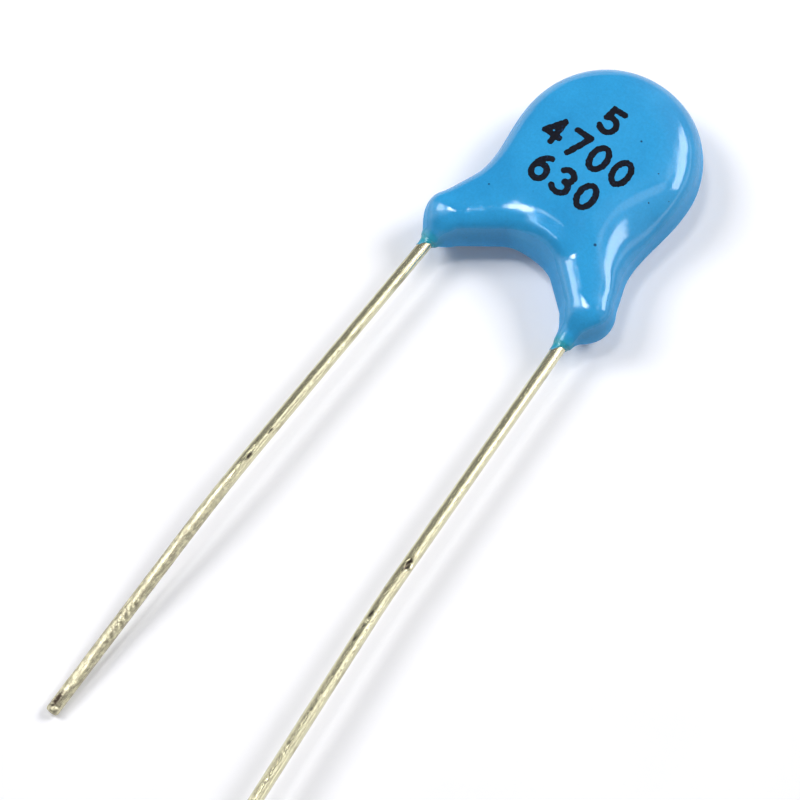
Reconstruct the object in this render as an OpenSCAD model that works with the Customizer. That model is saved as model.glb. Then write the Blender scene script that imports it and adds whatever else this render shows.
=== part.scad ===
// Ceramic disc capacitor with two radial leads, lying on one face with its leads towards -Y.
// Millimetres. The origin is under the centre of the disc, on the surface that the part lies on.

/* [Ceramic disc] */
// Diameter of the ceramic disc
ceramic_d = 6.4; // [5.8:0.1:7.2]
// Thickness of the ceramic disc
ceramic_t = 1.2; // [0.8:0.1:1.6]
// Bare ceramic between an electrode's edge and the disc's edge
electrode_margin = 0.3; // [0.2:0.05:0.8]
// Thickness of each fired silver electrode
electrode_t = 0.04; // [0.03:0.01:0.08]

/* [Solder joints] */
// Diameter of each mound of solder
solder_d = 2.6; // [2:0.1:3]
// Height of each mound of solder
solder_h = 0.8; // [0.75:0.05:1]
// Film of solder between the electrode and the lead
solder_film = 0.05; // [0.03:0.01:0.1]
// Distance from the cut end of the lead to the middle of its mound
solder_setback = 0.8; // [0.4:0.1:1.2]

/* [Leads] */
// Diameter of the lead wire
lead_d = 0.6; // [0.5:0.05:0.7]
// Distance between the leads where they leave the coating
lead_pitch = 7.5; // [7:0.1:8.5]
// Sideways offset of the pair of leads from the disc's centre
pair_shift = -0.35; // [-0.5:0.05:0.5]
// Distance from the disc's centre to the leads' free ends
lead_reach = 34.4; // [26:0.2:40]
// Distance from the disc's centre to the gentle bend in each lead
bend_reach = 22.6; // [16:0.2:23]
// Outward lean of the left lead up to its gentle bend, in degrees
left_lean = 1; // [0:0.2:4]
// Outward lean of the left lead past its gentle bend, in degrees
left_end_lean = 0; // [-3:0.2:4]
// Outward lean of the right lead up to its gentle bend, in degrees
right_lean = 2.8; // [0:0.2:4]
// Outward lean of the right lead past its gentle bend, in degrees
right_end_lean = 5.3; // [0:0.1:8]
// Rise of the right lead's free end above the middle of the body
right_end_rise = 0.2; // [0:0.1:1]
// Inner ends of the leads: distance from the disc's centre line
inner_end_x = 0.7; // [0.4:0.1:1]
// Inner ends of the leads: distance above the disc's centre
inner_end_y = 0.6; // [0:0.1:1.2]
// Radius of the bends inside the coating, to the wire's axis
inner_bend_r = 1.2; // [0.8:0.1:1.8]
// Radius of the gentle bends, to the wire's axis
gentle_bend_r = 40; // [20:1:50]
// Loss of wire radius where the wire is stretched round a bend
bend_neck = 0.002; // [0.001:0.001:0.01]

/* [Coating] */
// Coating past the ceramic disc's edge
edge_cover = 1.08; // [0.9:0.01:1.6]
// Coating over the lead on each face
face_cover = 0.51; // [0.4:0.01:0.8]
// Coating beside the lead at the left leg's shoulder
left_leg_cover = 0.82; // [0.7:0.01:1]
// Coating beside the lead at the right leg's shoulder
right_leg_cover = 0.92; // [0.7:0.01:1]
// Coating above and below the lead at each leg's shoulder
leg_face_cover = 1.2; // [0.9:0.05:1.3]
// Film of coating round the lead where it leaves each leg
collar_cover = 0.08; // [0.06:0.01:0.15]
// Width of the body's rounded rim, measured in from its edge
rim_w = 1.8; // [1.4:0.1:2]
// Width of a leg's rounded rim at its shoulder, measured in from its edge
leg_rim_w = 1.1; // [0.9:0.05:1.3]
// How square the rounded rims are: 2 is round, and more gives a flatter top and a steeper side
rim_power = 2.9; // [2:0.1:3.5]
// Blend between the round body and the legs, and between one leg and the other
web_blend = 2.4; // [1.8:0.1:2.6]
// Width of each leg at its root in the body
root_w = 5.05; // [4.6:0.05:5.4]
// Distance from the disc's centre line to the middle of each leg's root
root_x = 0.92; // [0.8:0.02:1.2]
// Distance from the disc's centre down to the middle of each leg's root
root_y = 2.64; // [2.3:0.02:3]
// Distance from the disc's centre line to the left leg's shoulder
left_shoulder_x = 4.02; // [3.6:0.02:4.3]
// Distance from the disc's centre line to the right leg's shoulder
right_shoulder_x = 3.56; // [3.3:0.02:4]
// Distance from the disc's centre down to the legs' shoulders
shoulder_y = 6.54; // [6:0.02:7.2]
// Width of each leg where its shoulder tapers off towards the lead
taper_w = 1.7; // [1.4:0.1:2]
// Blend between a leg and its taper
taper_blend = 0.5; // [0.3:0.1:0.8]
// Distance from the disc's centre down to the left leg's end
left_end_y = 8; // [7.8:0.1:8.6]
// Distance from the disc's centre down to the right leg's end
right_end_y = 8.5; // [8.2:0.05:9]
// Depth by which the underside is flattened where it lies
belly_flat = 0.03; // [0.01:0.01:0.06]

/* [Smoothness] */
// Cross-sections across each half of the round body
body_sections = 21; // [12:1:26]
// Cross-sections across each leg
leg_sections = 24; // [14:1:30]
// Points across each face of a cross-section
face_points = 22; // [14:1:26]

/* [Hidden] */
$fn = 64;

LEFT = -1;
RIGHT = 1;
UPPER = 1;
LOWER = -1;

// Heights
lead_r = lead_d / 2;
bend_lap = 0.03;                                  // straight wire that runs on into a bend
face_z = ceramic_t / 2 + electrode_t;             // from the mid-plane to an electrode's face
face_lead_z = face_z + solder_film + lead_r;      // from the mid-plane to a soldered lead's axis
body_half_t = face_lead_z + lead_r + face_cover;
mid_z = body_half_t - belly_flat;                 // the mid-plane's height above the surface

// Plan sizes of the coating
body_r = ceramic_d / 2 + edge_cover;
leg_half_t = lead_r + leg_face_cover;
room = 4 * body_r;                                // wider than the whole coating
collar_r = lead_r + collar_cover;
pivot_drop = collar_r;                            // the fan's pivot, below a leg's end
waist_angle = 58;                                 // where the leg's sections give way to the body's
bisections = 30;

function clamp(t) = min(max(t, 0), 1);
function mix(a, b, t) = a + (b - a) * t;
function unit(v) = v / norm(v);
function lead_x(side) = pair_shift + side * lead_pitch / 2;
function shoulder_x(side) = side == LEFT ? left_shoulder_x : right_shoulder_x;
function shoulder_r(side) = lead_r + (side == LEFT ? left_leg_cover : right_leg_cover);
function end_y(side) = side == LEFT ? left_end_y : right_end_y;
function lean(side) = side == LEFT ? left_lean : right_lean;
function end_lean(side) = side == LEFT ? left_end_lean : right_end_lean;

// ---- Leads -------------------------------------------------------------------------------------

// Corners of a lead's route: along the electrode, down the leg, out level, then past the gentle bend.
// The right lead is soldered to the upper face and the left lead to the lower one.
function lead_route(side) =
    let (face = side == RIGHT ? UPPER : LOWER,
         soldered_z = mid_z + face * face_lead_z,
         shoulder = [lead_x(side), -shoulder_y, mid_z],
         edge = mix([side * inner_end_x, inner_end_y, 0], shoulder, edge_fraction(side)),
         bend_x = shoulder[0] + side * (bend_reach - shoulder_y) * tan(lean(side)),
         end_x = bend_x + side * (lead_reach - bend_reach) * tan(end_lean(side)),
         end_z = side == RIGHT ? mid_z + right_end_rise : lead_r)
    [[side * inner_end_x, inner_end_y, soldered_z],
     [edge[0], edge[1], soldered_z],
     shoulder,
     [bend_x, -bend_reach, mid_z],
     [end_x, -lead_reach, end_z]];

// Share of the way from a lead's inner end to its shoulder at which it has cleared the disc's edge
function edge_fraction(side) =
    let (clear_r = ceramic_d / 2 + lead_d,
         a = [side * inner_end_x, inner_end_y],
         d = [lead_x(side), -shoulder_y] - a,
         b = a * d,
         dd = d * d)
    (-b + sqrt(b * b - dd * (a * a - clear_r * clear_r))) / dd;

// Middle of a lead's mound of solder, on the electrode's face
function solder_spot(side) =
    let (route = lead_route(side),
         along = unit(route[1] - route[0]))
    [route[0][0], route[0][1], 0] + solder_setback * along;

// Round rod between two points
module rod(a, b, r) {
    d = b - a;
    translate(a)
        rotate([0, acos(d[2] / norm(d)), atan2(d[1], d[0])])
            cylinder(h = norm(d), r = r);
}

// Length of straight wire that a bend takes up on each side of a corner
function bend_take(p, q, r, bend_r) =
    let (turn = acos(unit(q - p) * unit(r - q)))
    bend_r * tan(turn / 2);

// Round bend that replaces corner q between p and r
module bend(p, q, r, bend_r, wire_r) {
    along = unit(q - p);
    next = unit(r - q);
    inward = unit(next - (next * along) * along);
    start = q - bend_take(p, q, r, bend_r) * along;
    centre = start + bend_r * inward;
    axis = cross(-inward, along);
    multmatrix([[-inward[0], along[0], axis[0], centre[0]],
                [-inward[1], along[1], axis[1], centre[1]],
                [-inward[2], along[2], axis[2], centre[2]],
                [0, 0, 0, 1]])
        rotate_extrude(angle = acos(along * next))
            translate([bend_r, 0])
                circle(r = wire_r);
}

// Wire along a route of corners, with a bend radius for each inner corner. The straight lengths run
// on for a short lap into the bends, which are a hair thinner.
module wire(route, bend_radii, wire_r) {
    last = len(route) - 1;
    takes = [for (i = [0:last])
        i == 0 || i == last ? 0
            : bend_take(route[i - 1], route[i], route[i + 1], bend_radii[i - 1]) - bend_lap];
    for (i = [0:last - 1]) {
        along = unit(route[i + 1] - route[i]);
        rod(route[i] + takes[i] * along, route[i + 1] - takes[i + 1] * along, wire_r);
    }
    for (i = [1:last - 1])
        bend(route[i - 1], route[i], route[i + 1], bend_radii[i - 1], wire_r - bend_neck);
}

module lead(side) {
    wire(lead_route(side), [inner_bend_r, inner_bend_r, gentle_bend_r], lead_r);
}

module left_lead() {
    color("Gainsboro") lead(LEFT);
}

module right_lead() {
    color("Gainsboro") lead(RIGHT);
}

// ---- Ceramic disc, electrodes and solder -------------------------------------------------------

module ceramic_blank() {
    translate([0, 0, mid_z - ceramic_t / 2])
        cylinder(h = ceramic_t, d = ceramic_d);
}

module electrode(face) {
    bottom = face == UPPER ? ceramic_t / 2 : -face_z;
    translate([0, 0, mid_z + bottom])
        cylinder(h = electrode_t, d = ceramic_d - 2 * electrode_margin);
}

// Mound of solder: the cap of a ball, flat on the electrode
module solder_mound(side) {
    ball_r = (solder_d * solder_d / 4 + solder_h * solder_h) / (2 * solder_h);
    face = side == RIGHT ? UPPER : LOWER;
    translate(solder_spot(side) + [0, 0, mid_z + face * face_z])
        mirror([0, 0, face == UPPER ? 0 : 1])
            intersection() {
                translate([0, 0, solder_h - ball_r])
                    sphere(r = ball_r);
                cylinder(h = 2 * solder_h, r = ball_r);
            }
}

module solder_joint(side) {
    difference() {
        solder_mound(side);
        lead(side);
    }
}

module ceramic_disc() {
    color("Tan") ceramic_blank();
}

module upper_electrode() {
    color("Silver") electrode(UPPER);
}

module lower_electrode() {
    color("Silver") electrode(LOWER);
}

module upper_solder() {
    color("LightSlateGray") solder_joint(RIGHT);
}

module lower_solder() {
    color("LightSlateGray") solder_joint(LEFT);
}

// ---- Coating -----------------------------------------------------------------------------------

// The dipped coating is described in plan by patches that melt into each other. A patch is
// [depth inside its outline, half thickness of the coating there, width of its rounded rim,
// squareness of that rim].
function blend(a, b, k) =
    let (near = max(k - abs(a[0] - b[0]), 0) / k,
         t = clamp(0.5 + (a[0] - b[0]) / (2 * k)),
         share = t * t * (3 - 2 * t))
    [max(a[0], b[0]) + near * near * k / 4,
     each [for (i = [1:3]) mix(b[i], a[i], share)]];

function disc_patch(p) =
    [(body_r * body_r - p * p) / (2 * body_r), body_half_t, rim_w, rim_power];

// Tapering patch from a to b, each [place, half width, half thickness, rim width, squareness]
function taper_patch(p, a, b) =
    let (d = b[0] - a[0],
         t = clamp((p - a[0]) * d / (d * d)),
         off = p - a[0] - t * d,
         r = mix(a[1], b[1], t))
    [(r * r - off * off) / (2 * r), each [for (i = [2:4]) mix(a[i], b[i], t)]];

function root_end(side) =
    [[side * root_x, -root_y], root_w / 2, body_half_t, rim_w, rim_power];
function shoulder_end(side) =
    [[side * shoulder_x(side), -shoulder_y], shoulder_r(side), leg_half_t, leg_rim_w, rim_power];
function taper_start(side) =
    [[side * shoulder_x(side), -shoulder_y], taper_w / 2, leg_half_t, leg_rim_w, rim_power];
function collar_end(side) =
    let (lead_run = end_y(side) - shoulder_y,
         x = lead_x(side) + side * lead_run * tan(lean(side)))
    [[x, -end_y(side)], collar_r, collar_r, collar_r / 2, 1];

function leg_patch(p, side) =
    blend(taper_patch(p, root_end(side), shoulder_end(side)),
          taper_patch(p, taper_start(side), collar_end(side)),
          taper_blend);

function coating_patch(p) =
    blend(disc_patch(p), blend(leg_patch(p, LEFT), leg_patch(p, RIGHT), web_blend), web_blend);

function coating_half_height(p) =
    let (patch = coating_patch(p),
         in = 1 - clamp(patch[0] / patch[2]))
    patch[1] * sqrt(1 - pow(in, patch[3]));

// Each half of the coating is cut by upright sections that fan out from a pivot between the legs.
function pivot(side) = [0, -end_y(side) - pivot_drop];
function ray(side, angle) = [side * cos(angle), sin(angle)];
function angle_of(side, p) = let (v = p - pivot(side)) atan2(v[1], side * v[0]);

// Distance along a section's ray to the line from a to b
function reach_to(side, angle, a, b) =
    let (u = ray(side, angle), from = a - pivot(side), d = b - a)
    (from[0] * d[1] - from[1] * d[0]) / (u[0] * d[1] - u[1] * d[0]);

// Distance along a section's ray to a place well inside the coating
function core_reach(side, angle) =
    let (shoulder = shoulder_end(side)[0], collar = collar_end(side)[0])
    angle < angle_of(side, shoulder) ? reach_to(side, angle, collar, shoulder)
                                     : reach_to(side, angle, shoulder, [0, 0]);

// Distance along a ray at which the outline is crossed, between one inside it and one outside it
function outline_reach(side, angle, inside, outside, steps = bisections) =
    let (middle = (inside + outside) / 2)
    steps == 0 ? middle :
    coating_patch(pivot(side) + middle * ray(side, angle))[0] > 0
        ? outline_reach(side, angle, middle, outside, steps - 1)
        : outline_reach(side, angle, inside, middle, steps - 1);

// One closed section: over the top face from the near edge to the far edge, and back underneath
function section(side, angle) =
    let (core = core_reach(side, angle),
         near = outline_reach(side, angle, core, 0),
         far = outline_reach(side, angle, core, core + room),
         reaches = [for (i = [0:face_points]) mix(near, far, (1 - cos(180 * i / face_points)) / 2)],
         spots = [for (reach = reaches) pivot(side) + reach * ray(side, angle)],
         rises = [for (i = [0:face_points])
             i == 0 || i == face_points ? 0 : coating_half_height(spots[i])])
    concat([for (i = [0:face_points]) [spots[i][0], spots[i][1], mid_z + rises[i]]],
           [for (i = [face_points - 1:-1:1]) [spots[i][0], spots[i][1], mid_z - rises[i]]]);

function section_angles(side) =
    let (first = angle_of(side, collar_end(side)[0]))
    concat([for (i = [0:leg_sections - 1]) mix(first, waist_angle, i / leg_sections)],
           [for (i = [0:body_sections]) mix(waist_angle, 90, i / body_sections)]);

module coating_blank() {
    left_sections = [for (angle = section_angles(LEFT)) section(LEFT, angle)];
    right_angles = section_angles(RIGHT);
    right_sections = [for (i = [len(right_angles) - 2:-1:0]) section(RIGHT, right_angles[i])];
    sections = concat(left_sections, right_sections);
    ring = 2 * face_points;
    last = len(sections) - 1;
    points = [for (loop = sections) each loop];
    walls = [for (s = [0:last - 1], i = [0:ring - 1])
        let (a = s * ring + i, b = s * ring + (i + 1) % ring)
        each [[a, a + ring, b], [b, a + ring, b + ring]]];
    first_cap = [for (i = [0:ring - 1]) i];
    last_cap = [for (i = [ring - 1:-1:0]) last * ring + i];
    polyhedron(points, concat(walls, [first_cap, last_cap]));
}

module coating() {
    color("DodgerBlue")
        difference() {
            coating_blank();
            translate([-room / 2, -room / 2, -body_half_t])
                cube([room, room, body_half_t]);
            ceramic_blank();
            for (face = [UPPER, LOWER])
                electrode(face);
            for (side = [LEFT, RIGHT]) {
                solder_mound(side);
                lead(side);
            }
        }
}

coating();
ceramic_disc();
upper_electrode();
lower_electrode();
upper_solder();
lower_solder();
left_lead();
right_lead();
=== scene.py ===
import bisect
import itertools
import math

import bmesh
import bpy
from bpy.props import (FloatProperty, FloatVectorProperty, IntProperty, PointerProperty,
                       StringProperty)
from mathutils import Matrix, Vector, noise
from mathutils.bvhtree import BVHTree
from mathutils.kdtree import KDTree


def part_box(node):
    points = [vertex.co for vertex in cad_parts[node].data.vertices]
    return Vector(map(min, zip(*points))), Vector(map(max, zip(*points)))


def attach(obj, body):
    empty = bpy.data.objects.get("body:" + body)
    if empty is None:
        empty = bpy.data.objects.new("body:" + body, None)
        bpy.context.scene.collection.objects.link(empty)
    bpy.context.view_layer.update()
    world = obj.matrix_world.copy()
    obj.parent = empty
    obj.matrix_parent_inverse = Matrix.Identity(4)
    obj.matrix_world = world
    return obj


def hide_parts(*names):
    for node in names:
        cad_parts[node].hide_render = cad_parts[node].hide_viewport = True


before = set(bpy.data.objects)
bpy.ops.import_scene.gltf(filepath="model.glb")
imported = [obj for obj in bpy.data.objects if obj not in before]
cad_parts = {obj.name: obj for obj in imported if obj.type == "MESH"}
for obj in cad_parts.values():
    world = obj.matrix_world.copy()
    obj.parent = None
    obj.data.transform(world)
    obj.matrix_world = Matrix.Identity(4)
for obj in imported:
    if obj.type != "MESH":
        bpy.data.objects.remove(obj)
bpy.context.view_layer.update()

bl_info = {
    "name": "Ceramic Disc Capacitor",
    "version": (1, 0, 0),
    "blender": (4, 5, 0),
    "location": "3D View > Sidebar > Capacitor",
    "description": "Dresses a dipped ceramic disc capacitor on its solid model, ready to render",
    "category": "Object",
}

MM = 0.001
# Corners of a solid's mesh that lie closer than this are one corner
WELD = 1e-3 * MM


def tint(red, green, blue):
    """Scene-linear colour of a screen colour given in steps of 0 to 255."""
    return tuple(level / 12.92 if level <= 0.04045 else ((level + 0.055) / 1.055) ** 2.4
                 for level in (red / 255, green / 255, blue / 255))


# ---- Sizes and colours that a user may change ---------------------------------------------------

def length(name, description, default):
    """Setting that holds a length in metres."""
    return FloatProperty(name=name, description=description, default=default,
                         subtype="DISTANCE", unit="LENGTH", precision=6)


def colour(name, description, default):
    """Setting that holds a scene-linear colour."""
    return FloatVectorProperty(name=name, description=description, default=default,
                               subtype="COLOR", size=3, min=0, max=1)


class CoatingSettings(bpy.types.PropertyGroup):
    voxel: length("Voxel", "Size of the cells the skin is rebuilt from", 0.07 * MM)
    smoothing: IntProperty(name="Smoothing", description="Passes that smooth the skin",
                           default=30, min=0)
    softening: IntProperty(name="Softening", description="Passes that smooth the skin after the rolls",
                           default=12, min=0)
    swell: length("Swell", "Growth of the side walls", 0.025 * MM)
    flank_swell: length("Flank swell", "Growth of the left shoulder's flank", 0.1 * MM)
    flank_reach: length("Flank reach", "Width of the fuller flank", 1.6 * MM)
    ripple: length("Ripple", "Height of the slow waves left by dipping", 0.012 * MM)
    ripple_length: length("Ripple length", "Distance between the waves", 1.9 * MM)
    face_colour: colour("Face colour", "Blue of the epoxy", tint(50, 161, 221))
    deep_colour: colour("Deep colour", "Blue where the epoxy is thick", tint(44, 152, 212))
    film_colour: colour("Film colour", "Thin epoxy where it runs out along a lead",
                        tint(46, 158, 170))
    speck_colour: colour("Speck colour", "Specks of dust in the epoxy", tint(18, 66, 104))
    roughness: FloatProperty(name="Roughness", description="Blur of the coating's gloss",
                             default=0.11, min=0, max=1, subtype="FACTOR")


class RunSettings(bpy.types.PropertyGroup):
    thickness: length("Thickness", "Thickness of the epoxy that has run out along a lead",
                      0.012 * MM)
    fillet: length("Fillet", "Rise of the run where it meets the coating", 0.07 * MM)
    short_side: length("Short side", "Reach of the run on its short side", 0.1 * MM)
    long_side: length("Long side", "Reach of the run on its long side", 0.5 * MM)


class PrintSettings(bpy.types.PropertyGroup):
    top_row: StringProperty(name="Top row", description="Digits of the first row, 0 or 3 to 7",
                            default="5")
    middle_row: StringProperty(name="Middle row", description="Digits of the second row, 0 or 3 to 7",
                               default="4700")
    bottom_row: StringProperty(name="Bottom row", description="Digits of the third row, 0 or 3 to 7",
                               default="630")
    height: length("Height", "Height of a digit", 1.18 * MM)
    width: length("Width", "Width of a digit", 0.72 * MM)
    pitch: length("Pitch", "Distance from one digit to the next", 1.2 * MM)
    row_pitch: length("Row pitch", "Distance from one row to the next", 1.83 * MM)
    stroke: length("Stroke", "Width of an inked line", 0.29 * MM)
    grain: length("Grain", "Size of the cells an inked line is cut from", 0.03 * MM)
    thickness: length("Thickness", "Height of the ink on the coating", 0.008 * MM)
    colour: colour("Ink", "Colour of the ink", tint(17, 18, 26))
    thin_colour: colour("Thin ink", "Colour of the ink where it is thin", tint(30, 52, 84))


class LeadSettings(bpy.types.PropertyGroup):
    station: length("Station", "Distance between the rings of a lead", 0.05 * MM)
    sides: IntProperty(name="Sides", description="Sides of a ring", default=32, min=8)
    unevenness: length("Unevenness", "Depth of the slow dents along a lead", 0.006 * MM)
    cut_round: length("Cut rounding", "Rounding of the cut end", 0.17 * MM)
    colour: colour("Tin", "Colour of the tinned wire", tint(226, 221, 188))
    tarnish: colour("Tarnish", "Colour of the dull patches", tint(168, 162, 132))
    scuffed: colour("Scuffed", "Colour where pliers have scuffed the tin", tint(160, 154, 132))
    bruise: colour("Bruise", "Colour where the tin is broken", tint(72, 62, 52))


class StudioSettings(bpy.types.PropertyGroup):
    lens: FloatProperty(name="Lens", description="Focal length of the camera", default=112.5,
                        min=1, subtype="DISTANCE_CAMERA")
    floor_size: length("Floor", "Width of the floor", 1.2)
    floor_colour: colour("Floor colour", "Colour of the floor", tint(248, 248, 252))
    ceiling_radius: length("Ceiling", "Distance of the dim ceiling that the gloss mirrors", 0.5)
    ambient: FloatProperty(name="Ambient", description="Strength of the light all round",
                           default=0.09, min=0)
    ambient_colour: colour("Ambient colour", "Colour of the light all round",
                           (0.9, 0.92, 1.0))


# ---- Helpers ------------------------------------------------------------------------------------

def new_object(name, bm, material):
    """Object at the origin that holds a finished bmesh."""
    mesh = bpy.data.meshes.new(name)
    bm.to_mesh(mesh)
    bm.free()
    mesh.materials.append(material)
    mesh.shade_smooth()
    piece = bpy.data.objects.new(name, mesh)
    bpy.context.scene.collection.objects.link(piece)
    return piece


def add_node(tree, kind, inputs=None, **settings):
    """Node of a kind, with its settings, and its inputs given as values or as sockets to link."""
    node = tree.nodes.new(kind)
    for key, value in settings.items():
        setattr(node, key, value)
    for key, value in (inputs or {}).items():
        if isinstance(value, bpy.types.NodeSocket):
            tree.links.new(value, node.inputs[key])
        else:
            node.inputs[key].default_value = value
    return node


def rgba(colour):
    """Opaque colour with its fourth number."""
    return (*colour, 1)


def empty_tree(holder):
    """Node tree of a new material or world, with nothing in it."""
    holder.use_nodes = True
    holder.node_tree.nodes.clear()
    return holder.node_tree


def new_material(name):
    """Plain material; returns it, its tree, its shader and its object coordinates."""
    material = bpy.data.materials.new(name)
    tree = empty_tree(material)
    shader = add_node(tree, "ShaderNodeBsdfPrincipled")
    output = add_node(tree, "ShaderNodeOutputMaterial")
    tree.links.new(shader.outputs["BSDF"], output.inputs["Surface"])
    place = add_node(tree, "ShaderNodeTexCoord").outputs["Object"]
    return material, tree, shader, place


def noise_at(tree, place, wavelength, detail=2, roughness=0.5, stretch=(1, 1, 1)):
    """Noise of about the given wavelength, from 0 to 1."""
    scale = Vector(stretch) / wavelength
    mapped = add_node(tree, "ShaderNodeMapping", {"Vector": place, "Scale": scale})
    return add_node(tree, "ShaderNodeTexNoise", {
        "Vector": mapped.outputs["Vector"], "Scale": 1, "Detail": detail,
        "Roughness": roughness}).outputs["Fac"]


def ramp(tree, factor, low, high, low_value=0.0, high_value=1.0, smooth=True):
    """Value that goes from low_value to high_value while the factor goes from low to high."""
    return add_node(tree, "ShaderNodeMapRange", {
        "Value": factor, "From Min": low, "From Max": high,
        "To Min": low_value, "To Max": high_value},
        interpolation_type="SMOOTHSTEP" if smooth else "LINEAR").outputs["Result"]


def mix_colours(tree, factor, first, second, blend="MIX"):
    """The first colour, blended with the second by the factor."""
    # Sockets 0, 6 and 7 of the node are the factor and the two colours, and output 2 is a colour
    return add_node(tree, "ShaderNodeMix", {0: factor, 6: first, 7: second},
                    data_type="RGBA", blend_type=blend).outputs[2]


def math_node(tree, operation, first, second=0.0):
    """Result of one sum on two numbers or sockets."""
    return add_node(tree, "ShaderNodeMath", {0: first, 1: second},
                    operation=operation).outputs["Value"]


def distance(tree, place, spot):
    """Distance from a spot."""
    return add_node(tree, "ShaderNodeVectorMath", {0: place, 1: spot},
                    operation="DISTANCE").outputs["Value"]


def near_spot(tree, place, spot, inner, outer):
    """1 within the inner distance of a spot, falling to 0 at the outer one."""
    return ramp(tree, distance(tree, place, spot), inner, outer, low_value=1.0, high_value=0.0)


def bump(tree, height, strength, depth, under=None):
    """Normal of a surface roughened by a height, over another bump if one is given."""
    inputs = {"Height": height, "Strength": strength, "Distance": depth}
    if under:
        inputs["Normal"] = under
    return add_node(tree, "ShaderNodeBump", inputs).outputs["Normal"]


# ---- Coating ------------------------------------------------------------------------------------

# An edge sharper than this parts the coating's outside from the room inside it
SHARP_EDGE = math.radians(55)
# A side wall is upright where its normal rises or falls by less than this
UPRIGHT = 0.12
# Where each lead leaves the coating, from the pins of the record
LEAD_EXITS = {
    "left_lead": Vector((-4.13, -8.0, 1.77)) * MM,
    "right_lead": Vector((3.5, -8.5, 1.77)) * MM,
}
# Specks of dust in the face: place and size
SPECKS = (
    (Vector((1.04, 0.92, 0)) * MM, 0.05 * MM),
    (Vector((-3.23, -4.7, 0)) * MM, 0.045 * MM),
    (Vector((2.24, -4.33, 0)) * MM, 0.07 * MM),
)
# Where the skin is duller, as the dip drained off between the legs
DULL_PATCHES = (Vector((-0.4, -4.78, 3.25)) * MM, Vector((0.35, -4.85, 3.25)) * MM)
# Where the face rolls off to the outline in another width: place, reach round it, width, and the
# height up to which the skin may be filled, or 0 where it is only cut back
ROLLS = (
    (Vector((3.6, -2.7)) * MM, 2.9 * MM, 3.2 * MM, 0),
    (Vector((0.4, -4.95)) * MM, 1.55 * MM, 1.0 * MM, 3.48 * MM),
)
# Middle of the left shoulder's flank, which is fuller than the rest
FLANK = Vector((-3.75, -1.0)) * MM


def coating_material(settings):
    """Glossy blue epoxy with clouds, specks of dust and a thin greenish film at the leads."""
    material, tree, shader, place = new_material("blue_epoxy")
    clouds = noise_at(tree, place, wavelength=2.4 * MM, detail=3)
    blue = mix_colours(tree, ramp(tree, clouds, low=0.35, high=0.7), rgba(settings.face_colour),
                       rgba(settings.deep_colour))
    grain = noise_at(tree, place, wavelength=0.12 * MM, detail=4, roughness=0.7)
    shade = ramp(tree, grain, low=0.3, high=0.7, low_value=0.94, high_value=1.06)
    blue = mix_colours(tree, 1.0, blue, shade, "MULTIPLY")
    dust = noise_at(tree, place, wavelength=0.22 * MM, detail=1)
    blue = mix_colours(tree, ramp(tree, dust, low=0.79, high=0.83), blue,
                       rgba(settings.speck_colour))
    flat = add_node(tree, "ShaderNodeVectorMath", {0: place, 1: (1, 1, 0)},
                    operation="MULTIPLY").outputs["Vector"]
    for spot, size in SPECKS:
        speck = near_spot(tree, flat, spot, inner=size * 0.5, outer=size * 1.4)
        blue = mix_colours(tree, speck, blue, rgba(settings.speck_colour))
    for exit_place in LEAD_EXITS.values():
        ragged = math_node(tree, "MULTIPLY", noise_at(tree, place, wavelength=0.35 * MM), 0.3 * MM)
        away = math_node(tree, "ADD", distance(tree, place, exit_place), ragged)
        film = ramp(tree, away, low=0.35 * MM, high=0.95 * MM, low_value=1.0, high_value=0.0)
        blue = mix_colours(tree, film, blue, rgba(settings.film_colour))
    tree.links.new(blue, shader.inputs["Base Color"])
    mottle = noise_at(tree, place, wavelength=1.1 * MM, detail=4)
    blur = ramp(tree, mottle, low=0.3, high=0.75, low_value=settings.roughness * 0.8,
                high_value=settings.roughness * 1.5)
    for spot in DULL_PATCHES:
        patch = near_spot(tree, place, spot, inner=0.2 * MM, outer=0.65 * MM)
        blur = math_node(tree, "ADD", blur, math_node(tree, "MULTIPLY", patch, 0.2))
    steep = add_node(tree, "ShaderNodeAttribute", attribute_name="steepness").outputs["Fac"]
    duller = ramp(tree, steep, low=0.3, high=0.9, low_value=0.0, high_value=0.6)
    tree.links.new(math_node(tree, "ADD", blur, duller), shader.inputs["Roughness"])
    shader.inputs["IOR"].default_value = 1.5
    skin = noise_at(tree, place, wavelength=0.45 * MM, detail=3)
    tree.links.new(bump(tree, skin, strength=0.45, depth=0.012 * MM), shader.inputs["Normal"])
    return material


def outer_skin(node):
    """Copy of a coated node's outside, without the room for what it covers, closed at the leads."""
    bm = bmesh.new()
    bm.from_mesh(node.data)
    bmesh.ops.remove_doubles(bm, verts=bm.verts, dist=WELD)
    start = max(bm.faces, key=lambda face: face.calc_center_median().z)
    skin, waiting = {start}, [start]
    while waiting:
        for edge in waiting.pop().edges:
            if edge.is_manifold and abs(edge.calc_face_angle()) < SHARP_EDGE:
                found = [face for face in edge.link_faces if face not in skin]
                skin.update(found)
                waiting.extend(found)
    bmesh.ops.delete(bm, geom=[face for face in bm.faces if face not in skin], context="FACES")
    bmesh.ops.holes_fill(bm, edges=[edge for edge in bm.edges if edge.is_boundary], sides=0)
    bmesh.ops.recalc_face_normals(bm, faces=bm.faces)
    bm.normal_update()
    bmesh.ops.subdivide_edges(bm, edges=bm.edges, cuts=2, smooth=1.0, use_grid_fill=True)
    return bm


def remeshed(piece, voxel):
    """New bmesh of a piece rebuilt from even cells."""
    modifier = piece.modifiers.new("even_cells", "REMESH")
    modifier.mode = "VOXEL"
    modifier.voxel_size = voxel
    graph = bpy.context.evaluated_depsgraph_get()
    bm = bmesh.new()
    bm.from_object(piece, graph)
    bpy.data.objects.remove(piece)
    return bm


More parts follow.
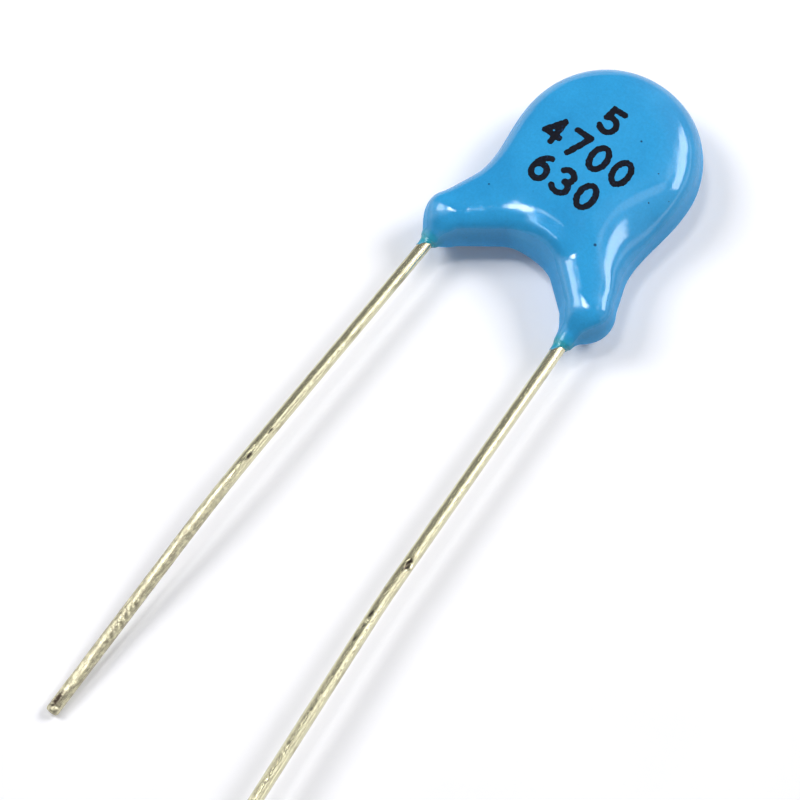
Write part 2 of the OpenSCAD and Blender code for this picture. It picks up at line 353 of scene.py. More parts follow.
def relax(bm, passes):
    """Smooths a skin; each pass swells it again by a little more than it shrank."""
    for _ in range(passes):
        for factor in (0.5, -0.51):
            bmesh.ops.smooth_vert(bm, verts=bm.verts, factor=factor,
                                  use_axis_x=True, use_axis_y=True, use_axis_z=True)


def roll_off(bm):
    """Rounds the face down to the outline in another width, where the epoxy slumped or filled."""
    bm.normal_update()
    low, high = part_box("coating")
    middle, half = (low[2] + high[2]) / 2, (high[2] - low[2]) / 2
    edge = [vert.co for vert in bm.verts if abs(vert.normal.z) < UPRIGHT]
    outline = KDTree(len(edge))
    for index, corner in enumerate(edge):
        outline.insert((corner.x, corner.y, 0), index)
    outline.balance()
    for place, reach, width, top in ROLLS:
        for vert in bm.verts:
            away = (vert.co.xy - place).length / reach
            if away < 1 and vert.co.z > middle:
                depth = outline.find((vert.co.x, vert.co.y, 0))[2]
                rolled = middle + math.sqrt(1 - max(0.0, 1 - depth / width) ** 2) * half
                if rolled > vert.co.z:
                    rolled = max(vert.co.z, min(rolled, top))
                vert.co.z += (rolled - vert.co.z) * (1 - away ** 2) ** 2


class CAPACITOR_OT_coating(bpy.types.Operator):
    """Dip the capacitor in its glossy epoxy"""
    bl_idname = "capacitor.coating"
    bl_label = "Coating"

    def execute(self, context):
        settings = context.scene.capacitor_coating
        material = coating_material(settings)
        rough = new_object("coating_rough", outer_skin(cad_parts["coating"]), material)
        bm = remeshed(rough, settings.voxel)
        relax(bm, settings.smoothing)
        roll_off(bm)
        relax(bm, settings.softening)
        bm.normal_update()
        # The side walls swell a little, and the slow waves only sink in
        for vert in bm.verts:
            wave = noise.noise(vert.co / settings.ripple_length) / 2 - 0.5
            full = math.exp(-((vert.co.xy - FLANK).length / settings.flank_reach) ** 2)
            vert.co.xy += vert.normal.xy * (settings.swell + settings.flank_swell * full)
            vert.co += vert.normal * wave * settings.ripple
        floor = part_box("coating")[0][2]
        for vert in bm.verts:
            vert.co.z = max(vert.co.z, floor)
        # The material makes the steep side walls duller than the face
        bm.normal_update()
        steepness = bm.verts.layers.float.new("steepness")
        for vert in bm.verts:
            vert[steepness] = 1 - vert.normal.z
        piece = new_object("dipped_coating", bm, material)
        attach(piece, "root")
        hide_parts("coating")
        return {"FINISHED"}


# ---- Print --------------------------------------------------------------------------------------

def arc(centre_x, centre_y, radius_x, radius_y, start, end, steps=18):
    """Points of an arc, in shares of a digit's width and height, clockwise if the end is less."""
    turns = [math.radians(start + (end - start) * step / steps) for step in range(steps + 1)]
    return [(centre_x + radius_x * math.cos(turn), centre_y + radius_y * math.sin(turn))
            for turn in turns]


# Middle lines of the strokes of each digit, in shares of its width and height
STROKES = {
    "0": [arc(0.5, 0.5, 0.5, 0.5, 0, 360)],
    "3": [arc(0.45, 0.75, 0.45, 0.25, 150, -80), arc(0.45, 0.26, 0.52, 0.27, 80, -150)],
    "4": [[(0.75, 0), (0.75, 1), (0, 0.3), (1.05, 0.3)]],
    "5": [[(0.92, 1), (0.18, 1), (0.1, 0.55)], arc(0.45, 0.31, 0.52, 0.32, 130, -145)],
    "6": [arc(0.5, 0.31, 0.48, 0.31, 0, 360), arc(0.85, 0.31, 0.83, 0.69, 180, 100)],
    "7": [[(0, 1), (1, 1), (0.35, 0)]],
}
# Width of the widest digit, in widths of a digit
WIDEST_DIGIT = 1.05
# Room left round a digit's middle lines, in widths of a stroke
STROKE_ROOM = 0.8
# Middle of the three rows
PRINT_CENTRE = Vector((-0.58, -0.9, 0)) * MM
# Unevenness of an inked edge, coarse and fine: size and share
WOBBLES = ((0.2 * MM, 1), (0.09 * MM, 0.6))
WOBBLE_DEPTH = 0.2
# How many times its own thickness the ink goes down, through the skin's waves
INK_SUNK = 3


def ink_material(settings):
    """Dull black ink that shows a little of the blue where it is thin."""
    material, tree, shader, place = new_material("black_ink")
    thin = noise_at(tree, place, wavelength=0.16 * MM, detail=3, roughness=0.6)
    ink = mix_colours(tree, ramp(tree, thin, low=0.55, high=0.8), rgba(settings.colour),
                      rgba(settings.thin_colour))
    tree.links.new(ink, shader.inputs["Base Color"])
    patches = noise_at(tree, place, wavelength=0.3 * MM)
    blur = ramp(tree, patches, low=0.3, high=0.7, low_value=0.45, high_value=0.65)
    tree.links.new(blur, shader.inputs["Roughness"])
    shader.inputs["Specular IOR Level"].default_value = 0.08
    coarse = noise_at(tree, place, wavelength=0.07 * MM, detail=3)
    tree.links.new(bump(tree, coarse, strength=0.5, depth=0.004 * MM), shader.inputs["Normal"])
    return material


def nearest_on_strokes(point, strokes):
    """Nearest place on the middle lines of a digit, all in metres."""
    best, best_away = None, math.inf
    for stroke in strokes:
        for start, end in zip(stroke, stroke[1:]):
            run = end - start
            share = max(0.0, min(1.0, (point - start).dot(run) / run.length_squared))
            place = start + share * run
            away = (point - place).length_squared
            if away < best_away:
                best, best_away = place, away
    return best


def add_digit(bm, digit, middle, settings):
    """One flat inked digit, cut from a fine grid along the outline of its strokes."""
    corner = middle - Vector((settings.width, settings.height)) / 2
    strokes = [[corner + Vector((x * settings.width, y * settings.height)) for x, y in stroke]
               for stroke in STROKES[digit]]
    reach = settings.stroke * STROKE_ROOM
    cells = [math.ceil((size + 2 * reach) / settings.grain)
             for size in (settings.width * WIDEST_DIGIT, settings.height)]
    grid = bmesh.ops.create_grid(bm, x_segments=cells[0], y_segments=cells[1], size=0.5)["verts"]
    inside = {}
    for vert in grid:
        point = middle + Vector((vert.co.x * cells[0], vert.co.y * cells[1])) * settings.grain
        place = nearest_on_strokes(point, strokes)
        wobble = sum(share * noise.noise(Vector((*point, layer)) / size)
                     for layer, (size, share) in enumerate(WOBBLES))
        radius = settings.stroke / 2 * (1 + WOBBLE_DEPTH * wobble)
        away = (point - place).length
        inside[vert] = away < radius
        if not inside[vert]:
            point = place + (point - place) * radius / away
        vert.co = (*point, 0)
    faces = {face for vert in grid for face in vert.link_faces}
    bmesh.ops.delete(bm, geom=[face for face in faces
                               if not any(inside[vert] for vert in face.verts)], context="FACES")


class CAPACITOR_OT_print(bpy.types.Operator):
    """Print the plain numbers on the coating's face"""
    bl_idname = "capacitor.print"
    bl_label = "Printed Numbers"

    def execute(self, context):
        settings = context.scene.capacitor_print
        bm = bmesh.new()
        rows = (settings.top_row, settings.middle_row, settings.bottom_row)
        for row, digits in enumerate(rows):
            for column, digit in enumerate(digits):
                along = (column - (len(digits) - 1) / 2) * settings.pitch
                down = (row - 1) * settings.row_pitch
                middle = Vector((PRINT_CENTRE.x + along, PRINT_CENTRE.y - down))
                add_digit(bm, digit, middle, settings)
        coating = bpy.data.objects["dipped_coating"]
        skin = BVHTree.FromObject(coating, context.evaluated_depsgraph_get())
        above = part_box("coating")[1][2] + 1 * MM
        for vert in bm.verts:
            hit = skin.ray_cast(Vector((vert.co.x, vert.co.y, above)), Vector((0, 0, -1)))[0]
            vert.co.z = hit.z + settings.thickness
        below = bmesh.ops.extrude_face_region(bm, geom=list(bm.faces))["geom"]
        sunk = [item for item in below if isinstance(item, bmesh.types.BMVert)]
        bmesh.ops.translate(bm, verts=sunk, vec=(0, 0, -INK_SUNK * settings.thickness))
        bmesh.ops.recalc_face_normals(bm, faces=bm.faces)
        piece = new_object("printed_numbers", bm, ink_material(settings))
        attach(piece, "root")
        return {"FINISHED"}


# ---- Leads --------------------------------------------------------------------------------------

UP = Vector((0, 0, 1))
# Share of the radius that stays flat in the middle of the cut end
CUT_FLAT = 0.35
# Slow dents along a lead: distance between them, and how much closer they are across it
DENT_PITCH = 0.9 * MM
DENT_ACROSS = 1.5
# Marks of handling on a lead: place, half length along it, half width, depth (less than 0 swells)
MARKS = {
    "left_lead": (
        (Vector((-4.46, -32.35, 0.85)) * MM, 1.05 * MM, 0.26 * MM, 0.07 * MM),
        (Vector((-4.46, -33.78, 0.66)) * MM, 0.24 * MM, 0.09 * MM, 0.1 * MM),
        (Vector((-4.38, -34.06, 0.64)) * MM, 0.09 * MM, 0.5 * MM, 0.05 * MM),
        (Vector((-4.30, -9.99, 2.03)) * MM, 0.06 * MM, 0.05 * MM, 0.03 * MM),
        (Vector((-4.34, -20.7, 2.0)) * MM, 0.5 * MM, 0.07 * MM, 0.03 * MM),
    ),
    "right_lead": (
        (Vector((4.13, -20.58, 2.06)) * MM, 0.26 * MM, 0.11 * MM, 0.11 * MM),
        (Vector((4.31, -20.62, 1.98)) * MM, 0.2 * MM, 0.09 * MM, -0.05 * MM),
        (Vector((3.62, -12.9, 2.05)) * MM, 0.3 * MM, 0.08 * MM, 0.02 * MM),
        (Vector((4.2, -24.0, 2.1)) * MM, 0.6 * MM, 0.07 * MM, 0.03 * MM),
    ),
}
# Teeth marks of pliers on top of a lead: from and to along it, pitch, slant, depth
TEETH = {
    "left_lead": ((-31.6 * MM, -27.6 * MM, 0.34 * MM, 0.5, 0.03 * MM),),
    "right_lead": (),
}
# The teeth mark a lead only where its normal rises by more than this
TOP_SIDE = 0.2
# Dark spots: place and half width
BRUISES = (
    (Vector((-4.44, -33.75, 0.64)) * MM, 0.17 * MM),
    (Vector((-4.38, -34.42, 0.36)) * MM, 0.13 * MM),
    (Vector((-4.26, -20.75, 2.04)) * MM, 0.08 * MM),
    (Vector((-4.22, -19.3, 2.06)) * MM, 0.06 * MM),
    (Vector((4.12, -20.58, 2.04)) * MM, 0.13 * MM),
    (Vector((4.16, -23.2, 2.07)) * MM, 0.06 * MM),
    (Vector((4.2, -23.9, 2.1)) * MM, 0.07 * MM),
    (Vector((4.26, -24.5, 2.1)) * MM, 0.06 * MM),
)
# A dark spot is drawn out along the lead, because lengths along it count for less
BRUISE_SHAPE = (1, 0.3, 1)
# Middle of the scuffed length of the left lead
SCUFF = Vector((-4.5, -29.5, 0.9)) * MM


def tin_material(settings):
    """Tinned wire with streaks, dull patches, pits, a scuffed length and dark spots."""
    material, tree, shader, place = new_material("tinned_copper")
    streaks = noise_at(tree, place, wavelength=0.05 * MM, detail=4, roughness=0.6,
                       stretch=(1, 0.1, 1))
    patches = noise_at(tree, place, wavelength=0.45 * MM, detail=4, roughness=0.65,
                       stretch=(1, 0.3, 1))
    tin = mix_colours(tree, ramp(tree, patches, low=0.5, high=0.72), rgba(settings.colour),
                      rgba(settings.tarnish))
    lined = ramp(tree, streaks, low=0.4, high=0.75, high_value=0.4)
    tin = mix_colours(tree, lined, tin, rgba(settings.tarnish))
    pits = noise_at(tree, place, wavelength=0.09 * MM)
    pitted = ramp(tree, pits, low=0.7, high=0.76, high_value=0.7)
    tin = mix_colours(tree, pitted, tin, rgba(settings.bruise))
    scuffed = near_spot(tree, place, SCUFF, inner=5 * MM, outer=9 * MM)
    scratches = noise_at(tree, place, wavelength=0.13 * MM, detail=4, roughness=0.75,
                         stretch=(1, 0.4, 1))
    scratched = ramp(tree, scratches, low=0.4, high=0.62, low_value=1.0, high_value=0.1)
    tin = mix_colours(tree, math_node(tree, "MULTIPLY", scuffed, scratched), tin,
                      rgba(settings.scuffed))
    for spot, size in BRUISES:
        ragged = math_node(tree, "MULTIPLY", noise_at(tree, place, wavelength=0.1 * MM), size)
        offset = add_node(tree, "ShaderNodeVectorMath", {0: place, 1: spot}, operation="SUBTRACT")
        squeezed = add_node(tree, "ShaderNodeVectorMath", {
            0: offset.outputs["Vector"], 1: BRUISE_SHAPE}, operation="MULTIPLY")
        away = add_node(tree, "ShaderNodeVectorMath", {0: squeezed.outputs["Vector"]},
                        operation="LENGTH")
        dark = ramp(tree, math_node(tree, "ADD", away.outputs["Value"], ragged),
                    low=size * 0.9, high=size * 1.7, low_value=1.0, high_value=0.0)
        tin = mix_colours(tree, dark, tin, rgba(settings.bruise))
    tree.links.new(tin, shader.inputs["Base Color"])
    shader.inputs["Metallic"].default_value = 0.8
    blur = ramp(tree, patches, low=0.3, high=0.75, low_value=0.13, high_value=0.24)
    blur = math_node(tree, "ADD", blur, math_node(tree, "MULTIPLY", scuffed, 0.26))
    tree.links.new(blur, shader.inputs["Roughness"])
    dents = noise_at(tree, place, wavelength=0.2 * MM, detail=4, roughness=0.6,
                     stretch=(1, 0.5, 1))
    strength = ramp(tree, scuffed, low=0, high=1, low_value=0.5, high_value=1.0)
    coarse = bump(tree, dents, strength, depth=0.03 * MM)
    tree.links.new(bump(tree, streaks, strength=0.35, depth=0.01 * MM, under=coarse),
                   shader.inputs["Normal"])
    return material


def centre_line(node, step=0.25 * MM):
    """Places along the middle of a wire node, from its inner end to its cut end, and its radius."""
    bm = bmesh.new()
    bm.from_mesh(node.data)
    bmesh.ops.remove_doubles(bm, verts=bm.verts, dist=WELD)
    low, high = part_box(node.name)
    count = math.floor((high[1] - low[1]) / step)
    places = []
    for index in range(count):
        y = high[1] - (index + 0.5) * (high[1] - low[1]) / count
        cut = bmesh.ops.bisect_plane(bm, geom=[*bm.verts, *bm.edges, *bm.faces],
                                     plane_co=(0, y, 0), plane_no=(0, 1, 0))["geom_cut"]
        ring = [item.co for item in cut if isinstance(item, bmesh.types.BMVert)]
        lows = [min(co[axis] for co in ring) for axis in (0, 2)]
        highs = [max(co[axis] for co in ring) for axis in (0, 2)]
        places.append(Vector(((lows[0] + highs[0]) / 2, y, (lows[1] + highs[1]) / 2)))
    bm.free()
    radius = (highs[0] - lows[0]) / 2
    places = [place for place in places if place.y < high[1] - 1.5 * radius]
    # The middle line runs on to both faces of the wire's ends
    for end, inner, y in ((0, 1, high[1]), (-1, -2, low[1])):
        heading = (places[end] - places[inner]).normalized()
        slack = radius * math.sqrt(1 - heading.y ** 2) * math.copysign(1, heading.y)
        reach = (y - slack - places[end].y) / heading.y
        places.insert(0 if end == 0 else len(places), places[end] + heading * reach)
    return places, radius


def on_curve(places, reached, along):
    """Place and heading at a distance along a smooth curve through places."""
    index = min(bisect.bisect_right(reached, along), len(places) - 1) - 1
    t = (along - reached[index]) / (reached[index + 1] - reached[index])
    before, start, end, after = (places[max(0, min(len(places) - 1, index + offset))]
                                 for offset in (-1, 0, 1, 2))
    pull_start, pull_end = (end - before) / 2, (after - start) / 2
    place = ((2 * t**3 - 3 * t**2 + 1) * start + (t**3 - 2 * t**2 + t) * pull_start
             + (3 * t**2 - 2 * t**3) * end + (t**3 - t**2) * pull_end)
    heading = ((6 * t**2 - 6 * t) * (start - end) + (3 * t**2 - 4 * t + 1) * pull_start
               + (3 * t**2 - 2 * t) * pull_end)
    return place, heading.normalized()


def swept(places, step, sides, shape):
    """Round bar swept along places; shape gives the radius from the distance along and the turn."""
    steps = ((end - start).length for start, end in zip(places, places[1:]))
    reached = [0, *itertools.accumulate(steps)]
    whole = reached[-1]
    rings = math.ceil(whole / step)
    bm = bmesh.new()
    bmesh.ops.create_cone(bm, cap_ends=True, cap_tris=True, segments=sides,
                          radius1=1, radius2=1, depth=1)
    bars = [edge for edge in bm.edges if abs(edge.verts[0].co.z - edge.verts[1].co.z) > 0.5]
    bmesh.ops.subdivide_edges(bm, edges=bars, cuts=rings - 1, use_grid_fill=True)
    for vert in bm.verts:
        along = (vert.co.z + 0.5) * whole
        turn = math.atan2(vert.co.y, vert.co.x)
        in_middle = vert.co.xy.length < 0.5
        place, heading = on_curve(places, reached, along)
        side = UP.cross(heading).normalized()
        outward = side * math.cos(turn) + heading.cross(side) * math.sin(turn)
        radius = 0 if in_middle else shape(along, whole, turn)
        vert.co = place + outward * radius
    bm.normal_update()
    return bm


def dent(bm, place, half_length, half_width, depth):
    """Presses a mark into a lead, long along it and narrow across."""
    for vert in bm.verts:
        away = vert.co - place
        reach = math.hypot(away.y / half_length, away.x / half_width)
        if reach < 1 and away.length < 2 * max(half_length, half_width) and vert.normal.z > 0:
            vert.co -= vert.normal * depth * (1 - reach ** 2) ** 1.5


class CAPACITOR_OT_leads(bpy.types.Operator):
    """Draw the two tinned leads, with the marks of handling"""
    bl_idname = "capacitor.leads"
    bl_label = "Leads"

    def execute(self, context):
        settings = context.scene.capacitor_leads
        material = tin_material(settings)
        for name in ("left_lead", "right_lead"):
            places, radius = centre_line(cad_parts[name])

            def shape(along, whole, turn):
                left = min(1.0, (whole - along) / settings.cut_round)
                rounded = math.sqrt(max(0.0, 1 - (1 - left) ** 2))
                return radius * (CUT_FLAT + (1 - CUT_FLAT) * rounded)

            bm = swept(places, settings.station, settings.sides, shape)
            for vert in bm.verts:
                close = Vector((vert.co.x * DENT_ACROSS, vert.co.y, vert.co.z * DENT_ACROSS))
                slow = noise.noise(close / DENT_PITCH)
                vert.co += vert.normal * (slow / 2 - 0.5) * settings.unevenness
            for start, end, pitch, slant, depth in TEETH[name]:
                for vert in bm.verts:
                    if start < vert.co.y < end and vert.normal.z > TOP_SIDE:
                        fade = math.sin(math.pi * (vert.co.y - start) / (end - start))
                        groove = math.sin(2 * math.pi * (vert.co.y + slant * vert.co.x) / pitch)
                        vert.co -= vert.normal * depth * fade * (groove + 1) / 2
            for mark in MARKS[name]:
                bm.normal_update()
                dent(bm, *mark)
            piece = new_object("tinned_" + name, bm, material)
            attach(piece, "root")
            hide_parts(name)
        return {"FINISHED"}


# ---- Epoxy that has run out along the leads -----------------------------------------------------

# Turn round the lead at which its run reaches farthest
LONG_SIDE = math.radians(165)
# Distance between the rings of a run, and the sides of a ring
RUN_STATION = 0.02 * MM
RUN_SIDES = 64
# How far a run's mesh goes on inside the coating and past the run's longest reach
RUN_INSIDE = 0.4 * MM
RUN_PAST = 0.1 * MM
# Share of the wire's radius that hides the mesh in the wire past the run
RUN_HIDDEN = 0.9
# Share of the wire's radius that the run's thin edge starts under the wire's face
RUN_SUNK = 0.02
# Unevenness of a run's reach, and how quickly it changes round the lead
RAGGED_REACH = 0.08 * MM
RAGGED_PITCH = 2.2
# Length over which a run thins out at its edge, and over which its fillet fades
THIN_EDGE = 0.06 * MM
FILLET_REACH = 0.13 * MM


class CAPACITOR_OT_runs(bpy.types.Operator):
    """Let the thin epoxy run out a little way along each lead"""
    bl_idname = "capacitor.runs"
    bl_label = "Epoxy Runs"

    def execute(self, context):
        settings = context.scene.capacitor_runs
        material = bpy.data.objects["dipped_coating"].data.materials[0]
        for name, exit_place in LEAD_EXITS.items():
            places, radius = centre_line(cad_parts[name])
            outside = settings.long_side + RUN_PAST
            path = [place for place in places
                    if exit_place.y - outside < place.y < exit_place.y + RUN_INSIDE]

            def shape(along, whole, turn):
                beyond = along - (path[0].y - exit_place.y)
                lean = (1 + math.cos(turn - LONG_SIDE)) / 2
                round_lead = Vector((math.cos(turn), math.sin(turn), exit_place.x / MM))
                ragged = noise.noise(round_lead * RAGGED_PITCH)
                reach = (settings.short_side + (settings.long_side - settings.short_side)
                         * lean ** 2 + RAGGED_REACH * ragged)
                if beyond > reach:
                    return radius * RUN_HIDDEN
                thin = min(1.0, (reach - beyond) / THIN_EDGE) ** 0.5
                rise = settings.fillet * math.exp(-max(0.0, beyond) / FILLET_REACH)
                film = (settings.thickness + radius * RUN_SUNK) * thin
                return radius * (1 - RUN_SUNK) + film + rise * thin

            bm = swept(path, RUN_STATION, RUN_SIDES, shape)
            piece = new_object("epoxy_run_" + name, bm, material)
            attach(piece, "root")
        return {"FINISHED"}


# ---- Parts inside the coating -------------------------------------------------------------------

# Finishes of the parts under the coating: nodes, material, colour, worn colour, share of metal,
# roughness and size of the mottle
CORE_FINISHES = (
    (("ceramic_disc",), "fired_ceramic", tint(196, 172, 138), tint(170, 146, 112), 0.0, 0.6,
     0.5 * MM),
    (("upper_electrode", "lower_electrode"), "silver_paste", tint(214, 212, 206),
     tint(182, 178, 168), 1.0, 0.45, 0.3 * MM),
    (("upper_solder", "lower_solder"), "solder_alloy", tint(190, 192, 196),
     tint(150, 152, 158), 1.0, 0.3, 0.4 * MM),
)


def mottled_material(name, base, worn, metallic, roughness, wavelength):
    """Rough material of two tones, for ceramic, silver paste or solder."""
    material, tree, shader, place = new_material(name)
    mottle = noise_at(tree, place, wavelength, detail=4)
    tone = mix_colours(tree, ramp(tree, mottle, low=0.35, high=0.7), rgba(base), rgba(worn))
    tree.links.new(tone, shader.inputs["Base Color"])
    shader.inputs["Metallic"].default_value = metallic
    blur = ramp(tree, mottle, low=0.3, high=0.7, low_value=roughness * 0.8,
                high_value=roughness * 1.2)
    tree.links.new(blur, shader.inputs["Roughness"])
    grain = noise_at(tree, place, wavelength / 5, detail=3)
    tree.links.new(bump(tree, grain, strength=0.4, depth=0.01 * MM), shader.inputs["Normal"])
    return material


class CAPACITOR_OT_core(bpy.types.Operator):
    """Finish the ceramic disc, its silver faces and the solder under the coating"""
    bl_idname = "capacitor.core"
    bl_label = "Disc and Solder"

    def execute(self, context):
        for names, *finish in CORE_FINISHES:
            material = mottled_material(*finish)
            for name in names:
                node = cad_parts[name]
                node.data.materials.clear()
                node.data.materials.append(material)
        return {"FINISHED"}


# ---- Studio -------------------------------------------------------------------------------------

CAMERA_PLACE = Vector((21.39, -44.27, 104.08)) * MM
CAMERA_TURN = (math.radians(19.8), 0, math.radians(36.73))
SENSOR_WIDTH = 36
NEAREST_SEEN = 0.001
FARTHEST_SEEN = 10
# The floor shines more and more from the near distance out to the far one, so that it meets the
# white background without an edge: both distances and both strengths
FLOOR_GLOW = (0.045, 0.4, 0.085, 1.0)
# Lamps: name, azimuth, elevation, distance, width, height, strength
LAMPS = (
    ("lamp_top", -160, 78, 0.30, 0.04, 0.045, 30),
    ("lamp_left", -161, 51, 0.30, 0.115, 0.11, 10.9),
    ("lamp_right", 56, 48, 0.30, 0.12, 0.11, 12.2),
)
# What the gloss mirrors, each card over the one before: name, azimuth, half width, softness of
# its sides, elevation, half height, softness of its top and bottom, brightness
CARDS = (
    ("right_glow", 50, 45, 25, 33, 36, 10, 0.65),
    ("left_glow", -150, 20, 18, 35, 40, 12, 1.5),
    ("low_right", 30, 34, 12, 19, 3, 3, 2.3),
    ("low_left", -152, 16, 12, 10, 4, 4, 2.5),
    ("over_right", 42, 18, 12, 72, 4, 5, 2.1),
    ("beside_right", 76, 6, 11, 57, 4, 7, 2.4),
    ("right", 54, 25, 5, 44, 9, 3, 9.8),
    ("left", -155, 13, 5, 55, 10, 4, 9.4),
    ("top", -158, 19, 5, 77, 4.5, 2, 24.0),
)
ROOM_GLOW = 0.12


def towards(azimuth, elevation):
    """Direction from the origin, for an azimuth and an elevation in degrees."""
    turn, rise = math.radians(azimuth), math.radians(elevation)
    return Vector((math.cos(turn) * math.cos(rise), math.sin(turn) * math.cos(rise),
                   math.sin(rise)))


def background_ray(tree):
    """1 for a ray that comes from the camera, a gloss or a glass, and 0 for the rest."""
    path = add_node(tree, "ShaderNodeLightPath")
    mirrored = math_node(tree, "MAXIMUM", path.outputs["Is Glossy Ray"],
                         path.outputs["Is Transmission Ray"])
    return math_node(tree, "MAXIMUM", path.outputs["Is Camera Ray"], mirrored)


def floor_material(settings):
    """Pale paper that keeps the shadow near the part and turns white far from it."""
    material, tree, shader, place = new_material("pale_paper")
    clouds = noise_at(tree, place, wavelength=6 * MM)
    tone = ramp(tree, clouds, low=0.3, high=0.7, low_value=0.985, high_value=1.0)
    paper = mix_colours(tree, 1.0, rgba(settings.floor_colour), tone, "MULTIPLY")
    tree.links.new(paper, shader.inputs["Base Color"])
    shader.inputs["Roughness"].default_value = 0.9
    shader.inputs["Specular IOR Level"].default_value = 0.1
    away = add_node(tree, "ShaderNodeVectorMath", {0: place}, operation="LENGTH")
    lit = ramp(tree, away.outputs["Value"], *FLOOR_GLOW, smooth=False)
    tree.links.new(math_node(tree, "MULTIPLY", background_ray(tree), lit),
                   shader.inputs["Emission Strength"])
    shader.inputs["Emission Color"].default_value = (1, 1, 1, 1)
    return material


def ceiling_material():
    """Dim glow with soft-edged white cards, set by the direction from the origin alone."""
    material = bpy.data.materials.new("lit_ceiling")
    tree = empty_tree(material)
    place = add_node(tree, "ShaderNodeTexCoord").outputs["Object"]
    aim = add_node(tree, "ShaderNodeVectorMath", {0: place}, operation="NORMALIZE")
    aim = add_node(tree, "ShaderNodeSeparateXYZ", {0: aim.outputs["Vector"]}).outputs
    azimuth = math_node(tree, "ARCTAN2", aim["Y"], aim["X"])
    elevation = math_node(tree, "ARCSINE", aim["Z"])
    level = ROOM_GLOW
    for name, azimuth_at, half_width, side, elevation_at, half_height, end, brightness in CARDS:
        turned = math_node(tree, "SUBTRACT", azimuth, math.radians(azimuth_at))
        across = ramp(tree, math_node(tree, "COSINE", turned),
                      low=math.cos(math.radians(half_width + side)),
                      high=math.cos(math.radians(half_width)))
        raised = math_node(tree, "SUBTRACT", elevation, math.radians(elevation_at))
        upright = ramp(tree, math_node(tree, "ABSOLUTE", raised),
                       low=math.radians(half_height), high=math.radians(half_height + end),
                       low_value=1.0, high_value=0.0)
        card = math_node(tree, "MULTIPLY", across, upright)
        # Sockets 2 and 3 of the node are its two numbers, and output 0 is a number
        level = add_node(tree, "ShaderNodeMix", {0: card, 2: level, 3: brightness},
                         label=name).outputs[0]
    glow = add_node(tree, "ShaderNodeEmission", {"Color": (1, 1, 1, 1), "Strength": level})
    output = add_node(tree, "ShaderNodeOutputMaterial")
    tree.links.new(glow.outputs["Emission"], output.inputs["Surface"])
    return material


def add_ceiling(radius):
    """Half dome that only gloss sees: the lamps' white cards in a dim room."""
    bm = bmesh.new()
    bmesh.ops.create_icosphere(bm, subdivisions=5, radius=radius)
    bmesh.ops.delete(bm, geom=[vert for vert in bm.verts if vert.co.z < 0], context="VERTS")
    dome = new_object("ceiling", bm, ceiling_material())
    dome.visible_camera = dome.visible_diffuse = dome.visible_shadow = False
    dome.visible_transmission = dome.visible_volume_scatter = False


def add_lamp(name, azimuth, elevation, reach, width, height, strength):
    """Soft lamp that faces the origin and that neither the camera nor the gloss sees."""
    light = bpy.data.lights.new(name, "AREA")
    light.shape = "RECTANGLE"
    light.size, light.size_y = width, height
    light.energy = strength * math.pi * width * height
    lamp = bpy.data.objects.new(name, light)
    lamp.location = towards(azimuth, elevation) * reach
    lamp.rotation_mode = "QUATERNION"
    lamp.rotation_quaternion = lamp.location.to_track_quat("Z", "Y")
    lamp.visible_camera = lamp.visible_glossy = False
    bpy.context.scene.collection.objects.link(lamp)


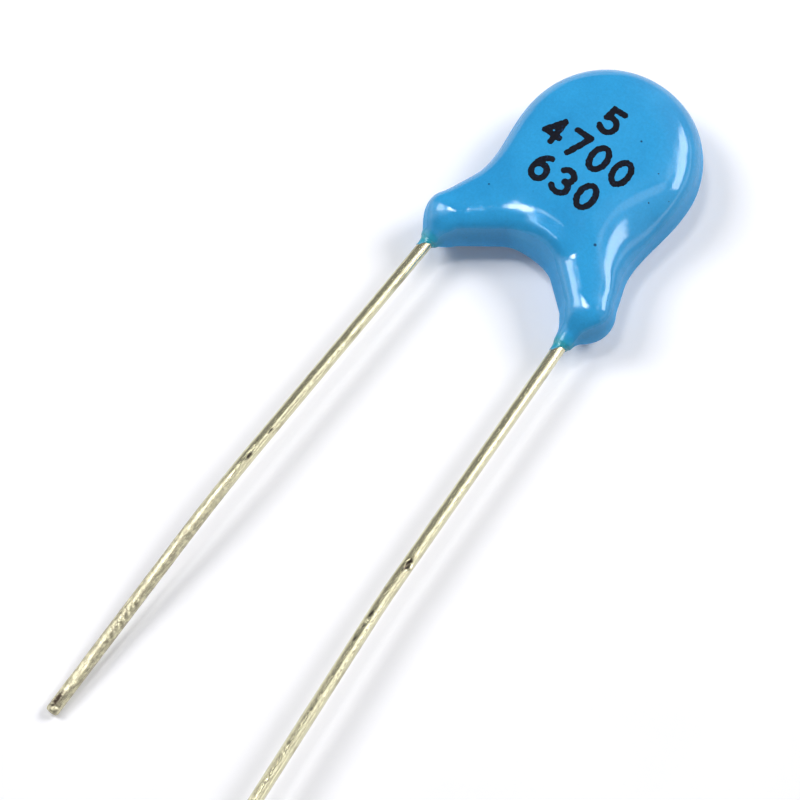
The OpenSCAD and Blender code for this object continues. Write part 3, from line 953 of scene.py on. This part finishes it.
class CAPACITOR_OT_studio(bpy.types.Operator):
    """Lay the pale floor and set the lamps, the surroundings and the camera"""
    bl_idname = "capacitor.studio"
    bl_label = "Studio"

    def execute(self, context):
        scene = context.scene
        settings = scene.capacitor_studio
        bm = bmesh.new()
        bmesh.ops.create_grid(bm, x_segments=1, y_segments=1, size=settings.floor_size / 2)
        new_object("floor", bm, floor_material(settings))
        add_ceiling(settings.ceiling_radius)
        for lamp in LAMPS:
            add_lamp(*lamp)

        world = bpy.data.worlds.new("surroundings")
        tree = empty_tree(world)
        ambient = rgba(level * settings.ambient for level in settings.ambient_colour)
        glow = add_node(tree, "ShaderNodeBackground", {
            "Color": mix_colours(tree, background_ray(tree), ambient, (1, 1, 1, 1))})
        output = add_node(tree, "ShaderNodeOutputWorld")
        tree.links.new(glow.outputs["Background"], output.inputs["Surface"])
        scene.world = world

        data = bpy.data.cameras.new("camera")
        data.lens = settings.lens
        data.sensor_width = SENSOR_WIDTH
        data.clip_start, data.clip_end = NEAREST_SEEN, FARTHEST_SEEN
        camera = bpy.data.objects.new("camera", data)
        camera.location = CAMERA_PLACE
        camera.rotation_euler = CAMERA_TURN
        scene.collection.objects.link(camera)
        scene.camera = camera
        scene.view_settings.view_transform = "Standard"
        return {"FINISHED"}


# ---- Panel and registration ---------------------------------------------------------------------

OPERATORS = (CAPACITOR_OT_coating, CAPACITOR_OT_print, CAPACITOR_OT_leads, CAPACITOR_OT_runs,
             CAPACITOR_OT_core, CAPACITOR_OT_studio)
SETTINGS = (("capacitor_coating", CoatingSettings), ("capacitor_runs", RunSettings),
            ("capacitor_print", PrintSettings), ("capacitor_leads", LeadSettings),
            ("capacitor_studio", StudioSettings))


class CAPACITOR_PT_panel(bpy.types.Panel):
    """Lists the pieces of the capacitor and their sizes"""
    bl_idname = "CAPACITOR_PT_panel"
    bl_label = "Disc Capacitor"
    bl_space_type = "VIEW_3D"
    bl_region_type = "UI"
    bl_category = "Capacitor"

    def draw(self, context):
        for operator in OPERATORS:
            self.layout.operator(operator.bl_idname)
        for name, _ in SETTINGS:
            box = self.layout.box()
            settings = getattr(context.scene, name)
            for key in settings.__annotations__:
                box.prop(settings, key)


def register():
    for cls in (*(group for _, group in SETTINGS), *OPERATORS, CAPACITOR_PT_panel):
        bpy.utils.register_class(cls)
    for name, group in SETTINGS:
        setattr(bpy.types.Scene, name, PointerProperty(type=group))


def unregister():
    for name, _ in SETTINGS:
        delattr(bpy.types.Scene, name)
    for cls in (CAPACITOR_PT_panel, *OPERATORS, *(group for _, group in SETTINGS)):
        bpy.utils.unregister_class(cls)


def main():
    register()
    bpy.ops.capacitor.coating()
    bpy.ops.capacitor.print()
    bpy.ops.capacitor.leads()
    bpy.ops.capacitor.runs()
    bpy.ops.capacitor.core()
    bpy.ops.capacitor.studio()


if __name__ == "__main__":
    main()
